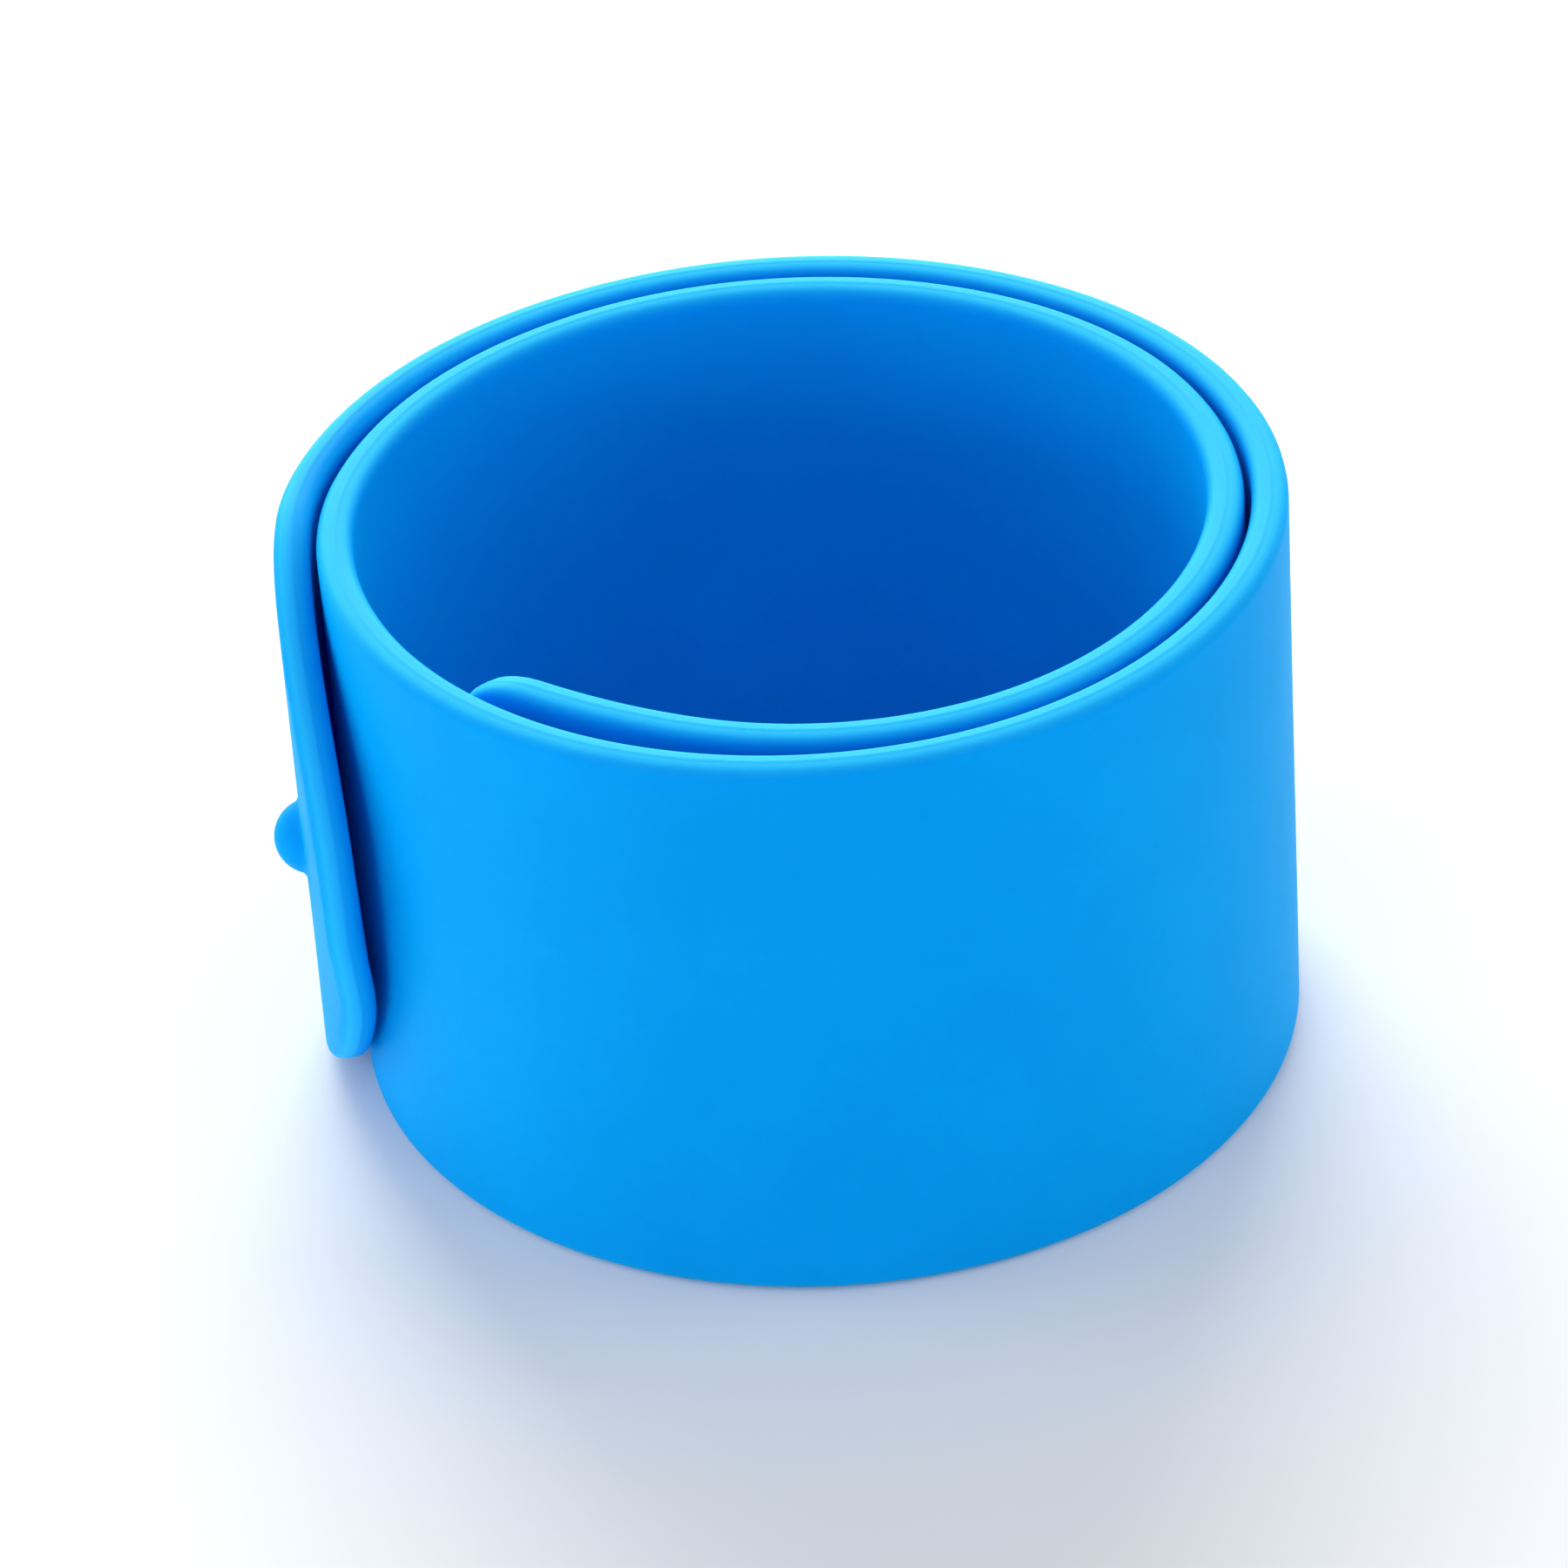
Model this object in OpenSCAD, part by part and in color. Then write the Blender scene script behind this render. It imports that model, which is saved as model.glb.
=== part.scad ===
// Slap band of moulded silicone, coiled up and standing on its long edge.
// The band is one piece. Seen from above it runs anticlockwise from its squared end
// inside the coil, nearly twice round, to its round end outside.
// The origin is on the axis of the outer turn, at the level of the lower edge.

/* [Band] */
// Width of the band, which is the height of the coil
band_w = 25; // [20:0.5:30]
// Thickness of the band
band_t = 1.5; // [1.2:0.05:1.6]
// Rounding of the long edges
edge_r = 0.5; // [0.3:0.05:0.55]
// Corner radius of the squared end
corner_r = 4; // [2:0.5:6]

/* [Coil] */
// Radius of the outer turn, at the middle of the band's thickness
coil_r = 18.8; // [18.5:0.1:20]
// Gap between the outer turn and the inner one
turn_gap = 0.3; // [0.2:0.05:0.6]
// Radius of the loose flap at the round end, which is nearly straight
flap_r = 42; // [36:1:48]

/* [Studs] */
// Radius of a stud's foot
stud_foot_r = 1.5; // [1:0.1:2]
// Height of the stud on the flap
stud_h = 1.15; // [0.8:0.05:1.4]
// Height of the stud that the outer turn presses down
pressed_stud_h = 0.65; // [0.4:0.05:0.7]
// Distance of a stud from the tip of the round end
round_end_stud = 6.8; // [5:0.2:8]
// Distance of a stud from the squared end
square_end_stud = 4.2; // [3.8:0.1:4.4]

/* [Hidden] */
$fn = 96;
BAND_BLUE = "#0a9bf0";

// How much further out the middle of the band lies in one turn than in the turn inside it
pitch = band_t + turn_gap;
inner_r = coil_r - pitch;

// Columns: radius of the bend at the middle of the thickness, angle that it turns through
BENDS = [
    [34, 11],
    [26, 10],
    [inner_r - 1.4, 62.5],
    [inner_r + 0.08 * pitch, 112],
    [inner_r + 0.72 * pitch, 100],
    [inner_r - 0.95 * pitch, 19],
    [coil_r, 228.5],
    [coil_r + 0.65 * pitch, 110],
    [coil_r - 1.45 * pitch, 14.5],
    [coil_r + 1.2 * pitch, 5],
    [flap_r, 13.5]
];
OUTER_TURN = 6;
FLAP = len(BENDS) - 1;
// Angle at which the first bend starts, counted from +X
first_angle = 232;

// Every other bend is smaller all round by the first size, and runs the second size into
// the bends on both sides of it, so that they join into one body
lap_step = 0.01;
lap_length = 0.2;

// How far a cutting shape stands past the faces that it crosses
over = 0.1;

// Direction from the centre of a bend at an angle
function towards(angle) = [cos(angle), sin(angle)];

// Angle at which a bend starts: each bend takes over where the one before ends
function start_angle(i) = i == 0 ? first_angle : start_angle(i - 1) + BENDS[i - 1][1];

// Centre of a bend. Two bends that meet have their centres in line with the place where
// they meet, so the band is smooth there. The outer turn is centred on the origin.
function bend_centre(i) =
    i == OUTER_TURN ? [0, 0] :
    i < OUTER_TURN ? bend_centre(i + 1) + (BENDS[i + 1][0] - BENDS[i][0]) * towards(start_angle(i + 1)) :
    bend_centre(i - 1) + (BENDS[i - 1][0] - BENDS[i][0]) * towards(start_angle(i));

// Angle along a bend that an arc of this length takes up
function arc_angle(i, length) = length / BENDS[i][0] * 180 / PI;

// Rounded outline of a plate, centred
module rounded_outline(size, r) {
    square([size[0] - 2 * r, size[1]], center = true);
    square([size[0], size[1] - 2 * r], center = true);
    for (x = [-1, 1], y = [-1, 1])
        translate([x * (size[0] / 2 - r), y * (size[1] / 2 - r)])
            circle(r);
}

// One bend of the band, with its section swept round the bend's centre
module bend(i) {
    smaller = i % 2 == 1 ? lap_step : 0;
    lap = i % 2 == 1 ? arc_angle(i, lap_length) : 0;
    translate(bend_centre(i))
        rotate([0, 0, start_angle(i) - lap])
            rotate_extrude(angle = BENDS[i][1] + 2 * lap)
                translate([BENDS[i][0], band_w / 2])
                    rounded_outline([band_t - 2 * smaller, band_w - 2 * smaller], edge_r - smaller);
}

// Puts its children on the band: X out of the coil, Y along the band and Z up,
// from a point at the middle of the thickness and the width
module on_band(i, angle) {
    translate(bend_centre(i))
        rotate([0, 0, angle])
            translate([BENDS[i][0], 0, band_w / 2])
                children();
}

// Squared end: the first bend, with its two outer corners rounded
module squared_end() {
    length = BENDS[0][0] * BENDS[0][1] * PI / 180;
    intersection() {
        bend(0);
        on_band(0, start_angle(0))
            rotate([0, 90, 0])
                linear_extrude(2 * band_t, center = true)
                    translate([0, length])
                        rounded_outline([band_w + 2 * over, 2 * length], corner_r);
    }
}

// Round end: the last three bends, cut to a half circle a little wider than the band
module round_end() {
    end_r = band_w / 2 + over;
    tip = BENDS[FLAP][0] * sin(BENDS[FLAP][1]);
    intersection() {
        union() {
            for (i = [FLAP - 2 : FLAP])
                bend(i);
        }
        on_band(FLAP, start_angle(FLAP))
            rotate([0, 90, 0])
                linear_extrude(2 * band_w, center = true)
                    translate([0, tip - end_r]) {
                        circle(end_r);
                        translate([0, -end_r])
                            square(2 * [band_w, end_r], center = true);
                    }
    }
}

// Domed stud on the outer face. Its ball is turned so that the ball's seam is cut away.
module stud(i, angle, height) {
    ball_r = (pow(stud_foot_r, 2) + pow(height, 2)) / (2 * height);
    on_band(i, angle)
        intersection() {
            translate([band_t / 2 + height - ball_r, 0, 0])
                rotate([0, 0, 180])
                    sphere(ball_r);
            translate([band_w / 2, 0, 0])
                cube(band_w, center = true);
        }
}

module band() {
    color(BAND_BLUE)
        union() {
            squared_end();
            for (i = [1 : FLAP - 3])
                bend(i);
            round_end();
            stud(0, start_angle(0) + arc_angle(0, square_end_stud), pressed_stud_h);
            stud(FLAP, start_angle(FLAP) + BENDS[FLAP][1] - arc_angle(FLAP, round_end_stud), stud_h);
        }
}

band();
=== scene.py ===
import math

import bmesh
import bpy
from mathutils import Matrix, Vector, noise


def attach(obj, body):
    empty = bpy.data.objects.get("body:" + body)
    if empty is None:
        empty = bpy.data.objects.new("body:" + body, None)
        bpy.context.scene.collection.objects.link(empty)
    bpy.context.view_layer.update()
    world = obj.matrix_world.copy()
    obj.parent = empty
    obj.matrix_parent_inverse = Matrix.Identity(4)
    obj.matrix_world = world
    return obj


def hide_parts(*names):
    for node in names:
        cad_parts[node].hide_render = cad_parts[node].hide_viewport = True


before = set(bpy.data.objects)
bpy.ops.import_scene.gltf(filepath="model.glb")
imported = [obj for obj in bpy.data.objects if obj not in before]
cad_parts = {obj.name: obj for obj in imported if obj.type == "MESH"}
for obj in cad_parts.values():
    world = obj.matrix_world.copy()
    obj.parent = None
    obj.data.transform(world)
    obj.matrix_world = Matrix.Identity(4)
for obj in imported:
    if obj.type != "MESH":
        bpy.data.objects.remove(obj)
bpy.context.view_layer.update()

MM = 0.001

# ---------------------------------------------------------------- sizes, in millimetres

# The band, as it lies flat: x runs from the squared end to the round one, y is across the
# band from its middle, and z is through it, with the outer face up
BAND_W = 25.0
BAND_T = 1.5
EDGE_R = 0.5            # rounding of every rim
EDGE_STEPS = 4
CORNER_R = 4.0          # corners of the squared end
CORNER_STEPS = 12
ROUND_END_STEPS = 26    # in each quarter of the round end
PARTING_RIDGE = 0.035   # how far the line where the two mould halves met stands out
PARTING_HALF = 0.07     # half its width

# Studs: distance from their end, foot radius and height
FLAP_STUD = (6.8, 1.5, 1.15)
PRESSED_STUD = (4.2, 1.5, 0.65)
STUD_PATCH = 2.4        # half of the square of the outer face that a stud grows from
STUD_PATCH_CUTS = 7     # in each side of that square
STUD_FILLET = 0.16
# Rings of the fillet: distance from the foot, in fillets, and height
STUD_FILLET_RINGS = ((1.6, 0.0), (0.8, 0.015), (0.3, 0.06))
STUD_RINGS = 9          # of the dome
STUD_FIRST_RING = 0.6   # how far from the foot the first of them is, in rings

# The coil: radius of each bend at the middle of the band, and the angle that it turns through
BENDS = (
    (34.0, 11), (26.0, 10), (15.6, 62.5), (17.144, 112), (18.296, 100), (15.29, 19),
    (18.8, 228.5),
    (19.97, 110), (16.19, 14.5), (20.96, 5), (42.0, 13.5),
)
OUTER_TURN = 6
FIRST_ANGLE = 232.0     # of the first bend's start, seen from its centre
EASE = 3.0              # length over which one bend passes into the next
LINE_STEP = 0.05        # step of the worked-out middle line
SLICE = 0.55            # length of one slice of the band
SLICES_ACROSS = (5.5, 8.5)   # cuts along the band, counted from its middle
RIM_MARGIN = 0.12       # between the rounding of a rim and the cut beside it
WAVE = 0.05             # how far the wall wanders from its true line
WAVE_ALONG = 17.0       # length of the wandering's noise along the band, and across it
WAVE_ACROSS = 21.0
WAVE_LAYER = 4.2        # layer of the noise that is used, in no unit
FLAP_LEAN = 0.5         # how much nearer to the coil the lower half of the round end lies
LEAN_LENGTH = 9.0       # how far from the tip the lean starts
LEAN_WIDTH = 6.0        # how far below the middle of the band it is whole

# Painted highlight on the rims: a paler blue that stands in for light from above and behind catching them. On
# the flap only the outer half of the rim has it, so the inner half stays darker, as painted shade.
RIM_HIGHLIGHT_DEPTH = 0.35       # depth below a face at which the rim's painted highlight is whole
FLAP_RIM_START = 30.0   # distance from the tip where the flap's kind of rim starts
FLAP_RIM_EASE = 12.0    # length over which it becomes whole
FLAP_RIM_TOP = 0.4      # height, from the middle of the thickness, above which it is palest
FLAP_RIM_FADE = 0.8     # thickness over which it fades below that

# Tolerances
ON_PLANE = 1e-5
SAME_PLACE = 1e-4
SAME_CORNER = 1e-3
SAME_VERTEX_M = 2e-7    # in metres, on the coil

# The photograph's camera: place in mm, turns in degrees, and its focal length in pixels
PHOTO_WIDTH = 1800
CAMERA_AT = Vector((17.37, -246.66, 178.6))
CAMERA_PITCH = 36.21
CAMERA_ROLL = -1.42
CAMERA_FOCAL = 2728.2
SENSOR = 36.0
AIM = Vector((-1.4, -0.6, 11.6))   # what the camera looks at
CLOSER = 3.05                      # how much longer the lens is than the photograph's
CLIP_START_M = 0.01                # in metres

# ---------------------------------------------------------------- colours and grain

# Places on a colour ramp, and the blues there
WALL_BLUES = ((0.3, "#0096E6"), (0.7, "#009CEC"))
# Painted highlight: the paler blue of the rims, standing in for light from above and behind
RIM_PAINTED_HIGHLIGHT_BLUE = "#26B8F8"
FLOOR_WHITE = "#F4F5F6"

# In millimetres
MOTTLE = 9.0            # size of the faint patches in the colour
SHEEN_PATCH = 3.0       # size of the patches in the sheen
GRAIN = 0.22            # size of the mould's grain, and its depth
GRAIN_DEPTH = 0.012
SCATTER = 1.6           # how far light goes inside the silicone

# ---------------------------------------------------------------- floor and light, in metres

FLOOR_HALF = 2.0        # half of its side
FLOOR_DROP = 0.02 * MM  # how far below the band it lies

WORLD_LOW_DOWN = 1.15   # strength of the room's light
WORLD_OVERHEAD = 0.55
WORLD_LEVEL = 0.4       # Z of a direction from which on it counts as overhead

LIGHT_AIM = (0, 0, 0.012)
# Name, place, side of the square and power in watts
LIGHTS = (
    ("key", (-0.15, 0.88, 0.47), 0.8, 14.0),
    ("fill", (-0.4, -0.85, 0.08), 0.3, 2.6),
    ("left", (-0.9, 0.1, 0.35), 0.5, 1.8),
    ("right", (0.9, 0.1, 0.35), 0.5, 1.8),
)


# ---------------------------------------------------------------- middle line of the coil

BEND_LENGTHS = [radius * math.radians(turn) for radius, turn in BENDS]
BEND_STARTS = [sum(BEND_LENGTHS[:i]) for i in range(len(BENDS))]
BAND_L = sum(BEND_LENGTHS)


def eased(x):
    """A smooth passage from 0 to 1 while x goes from 0 to 1."""
    x = min(max(x, 0.0), 1.0)
    return x * x * (3 - 2 * x)


def curvature(s):
    """Curvature of the middle line at s, eased from each bend to the next."""
    value = 1 / BENDS[0][0]
    for i in range(1, len(BENDS)):
        share = eased((s - BEND_STARTS[i]) / EASE + 0.5)
        value += share * (1 / BENDS[i][0] - 1 / BENDS[i - 1][0])
    return value


def middle_line():
    """Points (x, y, heading) along the band, worked out both ways from the outer turn's middle."""
    anchor = round((BEND_STARTS[OUTER_TURN] + BEND_LENGTHS[OUTER_TURN] / 2) / LINE_STEP)
    seen_from_centre = math.radians(
        FIRST_ANGLE + sum(turn for _, turn in BENDS[:OUTER_TURN]) + BENDS[OUTER_TURN][1] / 2)
    radius = BENDS[OUTER_TURN][0]
    start = (radius * math.cos(seen_from_centre), radius * math.sin(seen_from_centre),
             seen_from_centre + math.pi / 2)
    line = {anchor: start}
    last = math.ceil(BAND_L / LINE_STEP) + 1
    for way, stop in ((1, last + 1), (-1, -2)):
        x, y, heading = start
        for i in range(anchor + way, stop, way):
            bend = curvature((i - way / 2) * LINE_STEP) * LINE_STEP * way
            x += math.cos(heading + bend / 2) * LINE_STEP * way
            y += math.sin(heading + bend / 2) * LINE_STEP * way
            heading += bend
            line[i] = (x, y, heading)
    return line


LINE = middle_line()


def on_coil(s, y, t):
    """A point of the flat band, carried onto the coil: s along it, y across it, t through it."""
    place = s / LINE_STEP
    i = math.floor(place)
    f = place - i
    ax, ay, ah = LINE[i]
    bx, by, bh = LINE[i + 1]
    heading = ah + (bh - ah) * f
    t += WAVE * noise.noise(Vector((s / WAVE_ALONG, y / WAVE_ACROSS, WAVE_LAYER)))
    t -= FLAP_LEAN * eased((s - BAND_L + LEAN_LENGTH) / LEAN_LENGTH) * eased(-y / LEAN_WIDTH)
    return Vector((
        ax + (bx - ax) * f + t * math.sin(heading),
        ay + (by - ay) * f - t * math.cos(heading),
        y + BAND_W / 2)) * MM


def rim_painted_highlight(x, z):
    """How much of the rims' painted highlight, a paler blue standing in for light from above and behind, a
    point of the flat band has.
    """
    on_flap = eased((x - BAND_L + FLAP_RIM_START) / FLAP_RIM_EASE)
    inner_half = eased((FLAP_RIM_TOP - z) / FLAP_RIM_FADE)
    return eased((BAND_T / 2 - abs(z)) / RIM_HIGHLIGHT_DEPTH) * (1 - on_flap * inner_half)


# ---------------------------------------------------------------- modelling


def slice_at(bm, axis, places):
    """Cuts the mesh right across at each place along x, y or z."""
    normal = Vector((axis == "x", axis == "y", axis == "z"))
    for place in places:
        bmesh.ops.bisect_plane(
            bm, geom=bm.verts[:] + bm.edges[:] + bm.faces[:], dist=ON_PLANE,
            plane_co=normal * place, plane_no=normal)


def flat_blank():
    """The moulded strip before it is coiled: outline, thickness and rounded rims."""
    bm = bmesh.new()
    bmesh.ops.create_grid(bm, x_segments=1, y_segments=1, size=0.5)
    bmesh.ops.scale(bm, vec=(BAND_L, BAND_W, 1), verts=bm.verts)
    bmesh.ops.translate(bm, vec=(BAND_L / 2, 0, -BAND_T / 2), verts=bm.verts)
    for end, size, steps in ((0, CORNER_R, CORNER_STEPS), (BAND_L, BAND_W / 2, ROUND_END_STEPS)):
        corners = [v for v in bm.verts
                   if abs(abs(v.co.y) - BAND_W / 2) < SAME_CORNER
                   and abs(v.co.x - end) < SAME_CORNER]
        bmesh.ops.bevel(bm, geom=corners, offset=size, offset_type="OFFSET", segments=steps,
                        profile=0.5, affect="VERTICES", clamp_overlap=False, material=-1)
    bmesh.ops.remove_doubles(bm, verts=bm.verts, dist=SAME_PLACE)
    raised = bmesh.ops.extrude_face_region(bm, geom=bm.faces[:])
    bmesh.ops.translate(bm, vec=(0, 0, BAND_T),
                        verts=[g for g in raised["geom"] if isinstance(g, bmesh.types.BMVert)])
    bmesh.ops.recalc_face_normals(bm, faces=bm.faces)
    rims = [e for e in bm.edges if abs(e.verts[0].co.z - e.verts[1].co.z) < SAME_PLACE]
    bmesh.ops.bevel(bm, geom=rims, offset=EDGE_R, offset_type="OFFSET", segments=EDGE_STEPS,
                    profile=0.5, affect="EDGES", material=-1)
    return bm


def raise_parting_line(bm):
    """A low ridge all round the edge, midway through the band."""
    slice_at(bm, "z", (-PARTING_HALF, 0, PARTING_HALF))
    for v in bm.verts:
        if abs(v.co.z) < ON_PLANE:
            v.co += v.normal * PARTING_RIDGE


def stud_rings(foot_r, height):
    """Radius and height of each ring from a stud's fillet to near its top."""
    ball_r = (foot_r ** 2 + height ** 2) / (2 * height)
    rings = [(foot_r + STUD_FILLET * out, up) for out, up in STUD_FILLET_RINGS]
    foot_angle = math.acos((ball_r - height) / ball_r)
    for i in range(STUD_RINGS):
        angle = foot_angle * (1 - (i + STUD_FIRST_RING) / (STUD_RINGS + STUD_FIRST_RING))
        rings.append((ball_r * math.sin(angle), height - ball_r * (1 - math.cos(angle))))
    return rings


def grow_stud(bm, s, foot_r, height):
    """A dome on the outer face, grown ring by ring from a hole cut in that face."""
    inside = [f for f in bm.faces
              if f.normal.z > 0.9 and abs(f.calc_center_median().x - s) < STUD_PATCH
              and abs(f.calc_center_median().y) < STUD_PATCH]
    bmesh.ops.delete(bm, geom=inside, context="FACES")
    ring = [e for e in bm.edges if e.is_boundary]
    for radius, up in stud_rings(foot_r, height):
        grown = bmesh.ops.extrude_edge_only(bm, edges=ring)["geom"]
        ring = [g for g in grown if isinstance(g, bmesh.types.BMEdge)]
        for v in (g for g in grown if isinstance(g, bmesh.types.BMVert)):
            angle = math.atan2(v.co.y, v.co.x - s)
            v.co = (s + radius * math.cos(angle), radius * math.sin(angle), BAND_T / 2 + up)
    top = bmesh.ops.holes_fill(bm, edges=ring, sides=0)["faces"]
    centre = bmesh.ops.poke(bm, faces=top)["verts"]
    for v in centre:
        v.co = (s, 0, BAND_T / 2 + height)


def patch_sides(bm, s):
    """The two edges across the outer face that bound a stud's patch."""
    return [e for e in bm.edges
            if abs(e.verts[0].co.x - e.verts[1].co.x) < ON_PLANE
            and abs(abs(e.verts[0].co.x - s) - STUD_PATCH) < SAME_PLACE
            and all(abs(v.co.y) < STUD_PATCH + SAME_PLACE and v.co.z > BAND_T / 2 - SAME_PLACE
                    for v in e.verts)]


def make_band():
    """The whole band: moulded flat with its studs, then carried onto the coil."""
    bm = flat_blank()
    raise_parting_line(bm)
    near_rim = BAND_W / 2 - EDGE_R - RIM_MARGIN
    slice_at(bm, "y", [side * y for y in (STUD_PATCH, *SLICES_ACROSS, near_rim) for side in (-1, 1)])
    count = round(BAND_L / SLICE)
    slice_at(bm, "x", [BAND_L * i / count for i in range(1, count)])
    for s, foot_r, height in (PRESSED_STUD, (BAND_L - FLAP_STUD[0],) + FLAP_STUD[1:]):
        slice_at(bm, "x", (s - STUD_PATCH, s + STUD_PATCH))
        bmesh.ops.subdivide_edges(bm, edges=patch_sides(bm, s), cuts=STUD_PATCH_CUTS, use_grid_fill=False)
        grow_stud(bm, s, foot_r, height)
    # Painted highlight of the rims, kept on each vertex as a mesh attribute
    painted_highlight = bm.verts.layers.float.new("rim_painted_highlight")
    for v in bm.verts:
        x, y, z = v.co
        v[painted_highlight] = rim_painted_highlight(x, z)
        v.co = on_coil(x, y, z)
    bmesh.ops.remove_doubles(bm, verts=bm.verts, dist=SAME_VERTEX_M)
    bmesh.ops.recalc_face_normals(bm, faces=bm.faces)
    for f in bm.faces:
        f.smooth = True
    mesh = bpy.data.meshes.new("silicone_band")
    bm.to_mesh(mesh)
    bm.free()
    band = bpy.data.objects.new("silicone_band", mesh)
    bpy.context.scene.collection.objects.link(band)
    return band


# ---------------------------------------------------------------- materials


def linear(hex_colour):
    """An sRGB hex colour as linear red, green, blue and alpha."""
    parts = [int(hex_colour[i:i + 2], 16) / 255 for i in (1, 3, 5)]
    return tuple(c / 12.92 if c <= 0.04045 else ((c + 0.055) / 1.055) ** 2.4 for c in parts) + (1.0,)


def new_material(name):
    """A material with no nodes yet."""
    material = bpy.data.materials.new(name)
    material.use_nodes = True
    material.node_tree.nodes.clear()
    return material


def add(material, kind, settings=None, **links):
    """Adds a node to a material or world.

    Settings are its own values and its inputs' values. Links go into the inputs that they
    are named for, or into input 6 for the name n6, and so on.
    """
    node = material.node_tree.nodes.new(kind)
    for key, value in (settings or {}).items():
        if isinstance(key, str) and hasattr(node, key):
            setattr(node, key, value)
        else:
            node.inputs[key].default_value = value
    for key, socket in links.items():
        name = int(key[1:]) if key[0] == "n" and key[1:].isdigit() else key.replace("_", " ")
        material.node_tree.links.new(socket, node.inputs[name])
    return node


def moulded_silicone():
    """Solid-coloured silicone rubber, cast in a spark-eroded mould: an even matt blue with a painted
    highlight, a paler blue, along its thin rims, with a soft sheen and a very fine grain."""
    m = new_material("moulded_silicone_rubber")
    place = add(m, "ShaderNodeTexCoord").outputs["Object"]
    mottle = add(m, "ShaderNodeTexNoise", {"Scale": 1 / (MOTTLE * MM), "Detail": 3.0, "Roughness": 0.55},
                 Vector=place)
    wall = add(m, "ShaderNodeValToRGB", Fac=mottle.outputs["Fac"])
    for i, (position, blue) in enumerate(WALL_BLUES):
        wall.color_ramp.elements[i].position = position
        wall.color_ramp.elements[i].color = linear(blue)
    # Painted highlight: the colour is mixed towards a paler blue along the rims, where light from above and
    # behind would brighten them
    painted_highlight = add(m, "ShaderNodeAttribute", {"attribute_name": "rim_painted_highlight"}).outputs["Fac"]
    # The colours of a mix node are its inputs 6 and 7 and its output 2
    colour = add(m, "ShaderNodeMix", {"data_type": "RGBA", 7: linear(RIM_PAINTED_HIGHLIGHT_BLUE)},
                 Factor=painted_highlight, n6=wall.outputs["Color"])
    sheen = add(m, "ShaderNodeTexNoise", {"Scale": 1 / (SHEEN_PATCH * MM), "Detail": 4.0}, Vector=place)
    rough = add(m, "ShaderNodeMapRange", {"To Min": 0.48, "To Max": 0.56}, Value=sheen.outputs["Fac"])
    grain = add(m, "ShaderNodeTexNoise", {"Scale": 1 / (GRAIN * MM), "Detail": 2.0}, Vector=place)
    bump = add(m, "ShaderNodeBump", {"Strength": 0.25, "Distance": GRAIN_DEPTH * MM},
               Height=grain.outputs["Fac"])
    shader = add(m, "ShaderNodeBsdfPrincipled", {
        "IOR": 1.41,
        "Specular IOR Level": 0.03,
        "Subsurface Weight": 0.5,
        "Subsurface Radius": (0.25, 0.6, 1.0),
        "Subsurface Scale": SCATTER * MM,
    }, Base_Color=colour.outputs[2], Roughness=rough.outputs["Result"], Normal=bump.outputs["Normal"])
    add(m, "ShaderNodeOutputMaterial", Surface=shader.outputs["BSDF"])
    return m


def floor_paint():
    """White painted board: matt, and so pale that it lights the object from below."""
    m = new_material("white_painted_board")
    place = add(m, "ShaderNodeTexCoord").outputs["Object"]
    uneven = add(m, "ShaderNodeTexNoise", {"Scale": 14.0, "Detail": 2.0}, Vector=place)
    rough = add(m, "ShaderNodeMapRange", {"To Min": 0.7, "To Max": 0.8}, Value=uneven.outputs["Fac"])
    shader = add(m, "ShaderNodeBsdfPrincipled", {"Base Color": linear(FLOOR_WHITE), "Specular IOR Level": 0.1},
                 Roughness=rough.outputs["Result"])
    add(m, "ShaderNodeOutputMaterial", Surface=shader.outputs["BSDF"])
    return m


# ---------------------------------------------------------------- the scene


def make_floor():
    """A plain white floor, just below the band."""
    bm = bmesh.new()
    bmesh.ops.create_grid(bm, x_segments=4, y_segments=4, size=FLOOR_HALF)
    bmesh.ops.translate(bm, vec=(0, 0, -FLOOR_DROP), verts=bm.verts)
    mesh = bpy.data.meshes.new("floor")
    bm.to_mesh(mesh)
    bm.free()
    floor = bpy.data.objects.new("floor", mesh)
    floor.data.materials.append(floor_paint())
    bpy.context.scene.collection.objects.link(floor)


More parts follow.
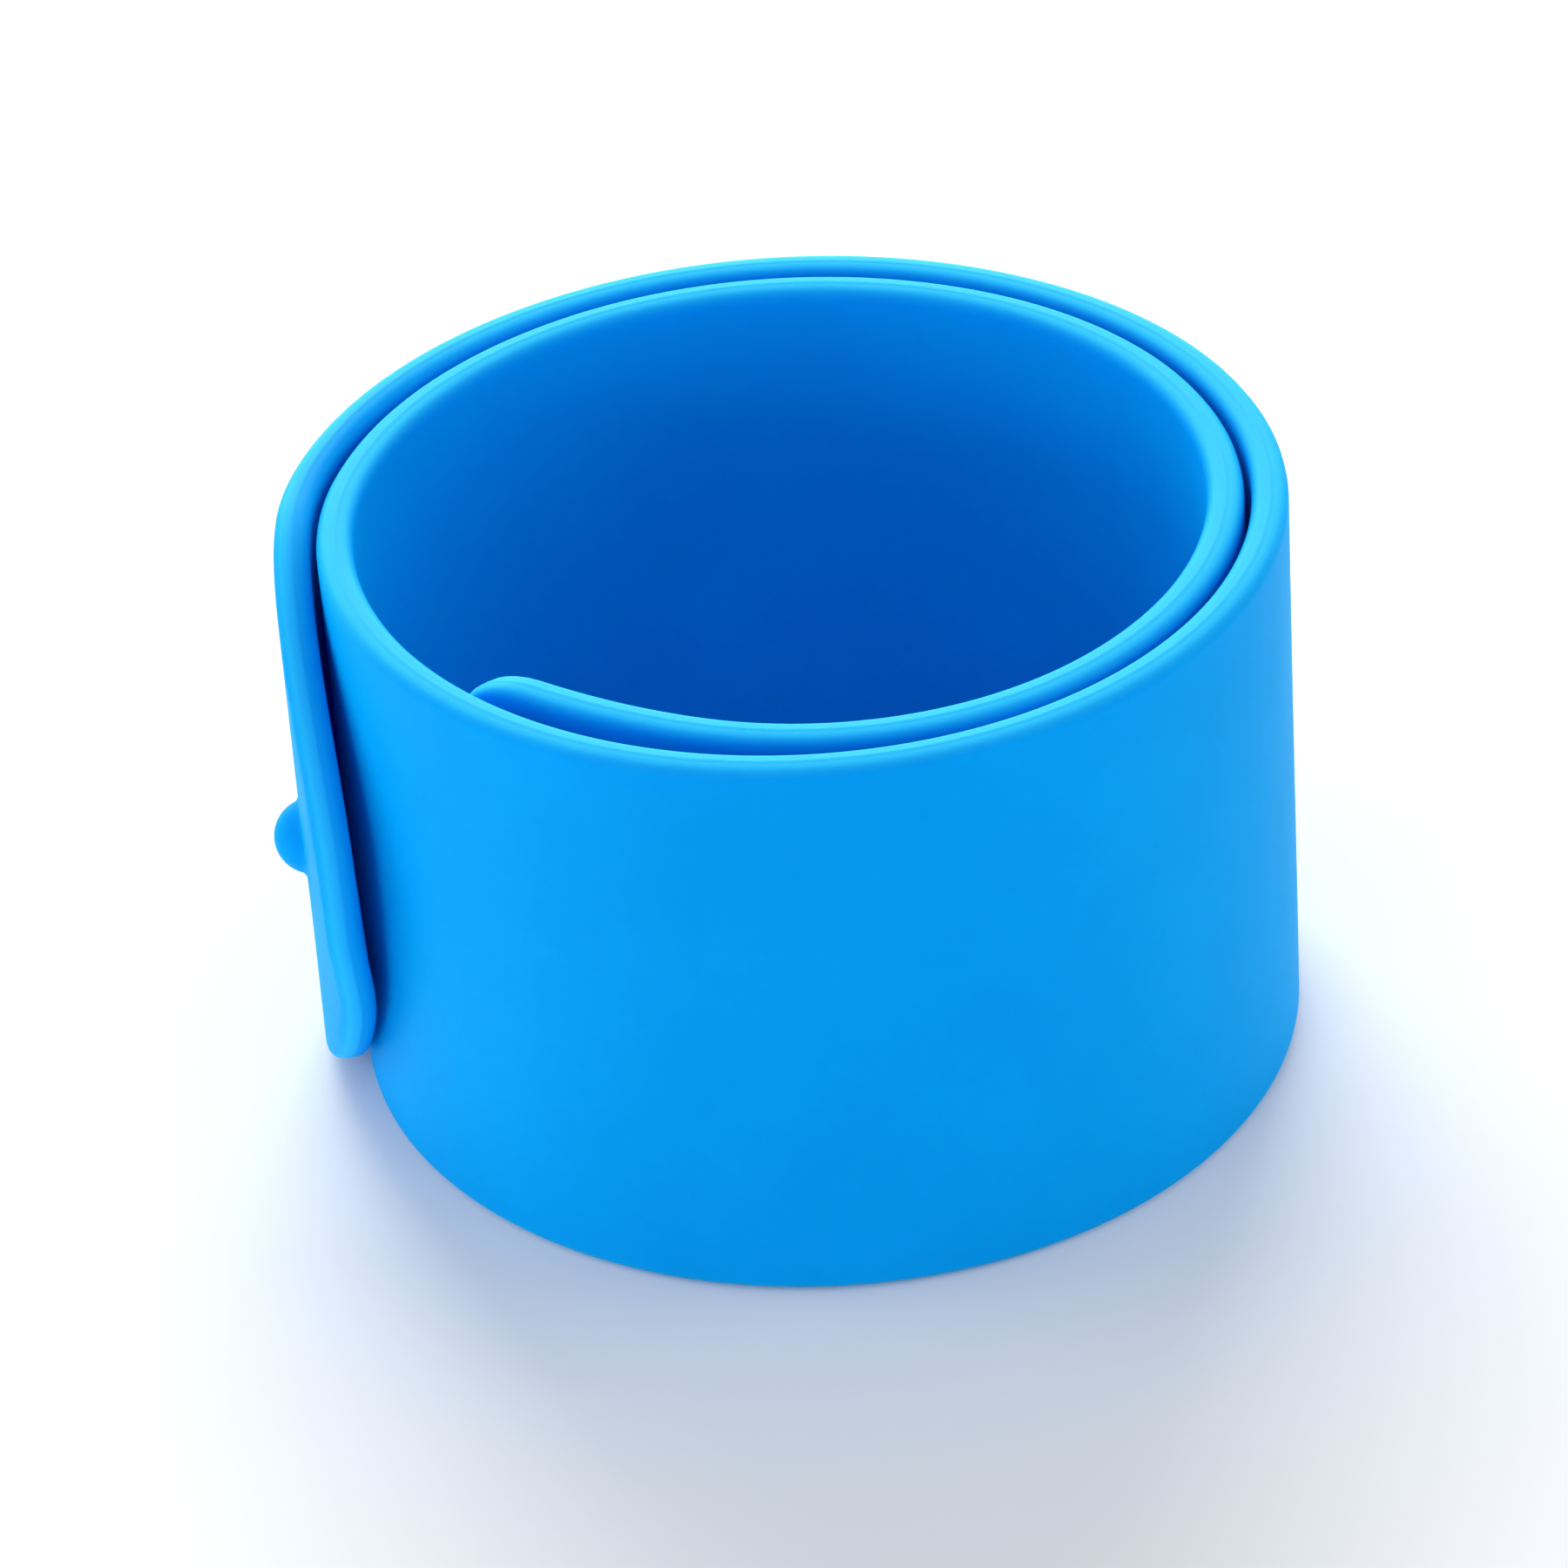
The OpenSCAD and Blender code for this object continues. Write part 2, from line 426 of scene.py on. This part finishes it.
def make_light(name, at, size, power):
    """A square soft light, turned to the object."""
    lamp = bpy.data.lights.new(name, "AREA")
    lamp.shape = "SQUARE"
    lamp.size = size
    lamp.energy = power
    lit = bpy.data.objects.new(name, lamp)
    lit.location = at
    lit.rotation_mode = "QUATERNION"
    lit.rotation_quaternion = (Vector(LIGHT_AIM) - Vector(at)).to_track_quat("-Z", "Y")
    bpy.context.scene.collection.objects.link(lit)


def make_world():
    """A plain white room that is brighter low down than overhead, as between big diffusers."""
    world = bpy.data.worlds.new("studio")
    bpy.context.scene.world = world
    world.use_nodes = True
    world.node_tree.nodes.clear()
    direction = add(world, "ShaderNodeTexCoord").outputs["Generated"]
    up = add(world, "ShaderNodeSeparateXYZ", Vector=direction).outputs["Z"]
    strength = add(world, "ShaderNodeMapRange",
                   {"From Max": WORLD_LEVEL, "To Min": WORLD_LOW_DOWN, "To Max": WORLD_OVERHEAD}, Value=up)
    background = add(world, "ShaderNodeBackground", {"Color": (1, 1, 1, 1)},
                     Strength=strength.outputs["Result"])
    add(world, "ShaderNodeOutputWorld", Surface=background.outputs["Background"])


def make_camera():
    """The photograph's point of view, turned to the object and brought nearer by a longer lens."""
    pitch, roll = math.radians(CAMERA_PITCH), math.radians(CAMERA_ROLL)
    ahead = Vector((0, math.cos(pitch), -math.sin(pitch)))
    up = Vector((0, math.sin(pitch), math.cos(pitch)))
    right = Vector((1, 0, 0))
    right, up = math.cos(roll) * right + math.sin(roll) * up, math.cos(roll) * up - math.sin(roll) * right
    turn = ahead.rotation_difference((AIM - CAMERA_AT).normalized())
    ahead, up, right = turn @ ahead, turn @ up, turn @ right
    data = bpy.data.cameras.new("camera")
    data.sensor_fit = "HORIZONTAL"
    data.sensor_width = SENSOR
    data.lens = CAMERA_FOCAL / PHOTO_WIDTH * SENSOR * CLOSER
    data.clip_start = CLIP_START_M
    camera = bpy.data.objects.new("camera", data)
    axes = Matrix((right, up, -ahead)).transposed().to_4x4()
    camera.matrix_world = Matrix.Translation(CAMERA_AT * MM) @ axes
    bpy.context.scene.collection.objects.link(camera)
    bpy.context.scene.camera = camera


band = make_band()
band.data.materials.append(moulded_silicone())
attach(band, "root")
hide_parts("band")

make_floor()
make_world()
for light in LIGHTS:
    make_light(*light)
make_camera()
bpy.context.scene.view_settings.view_transform = "Standard"
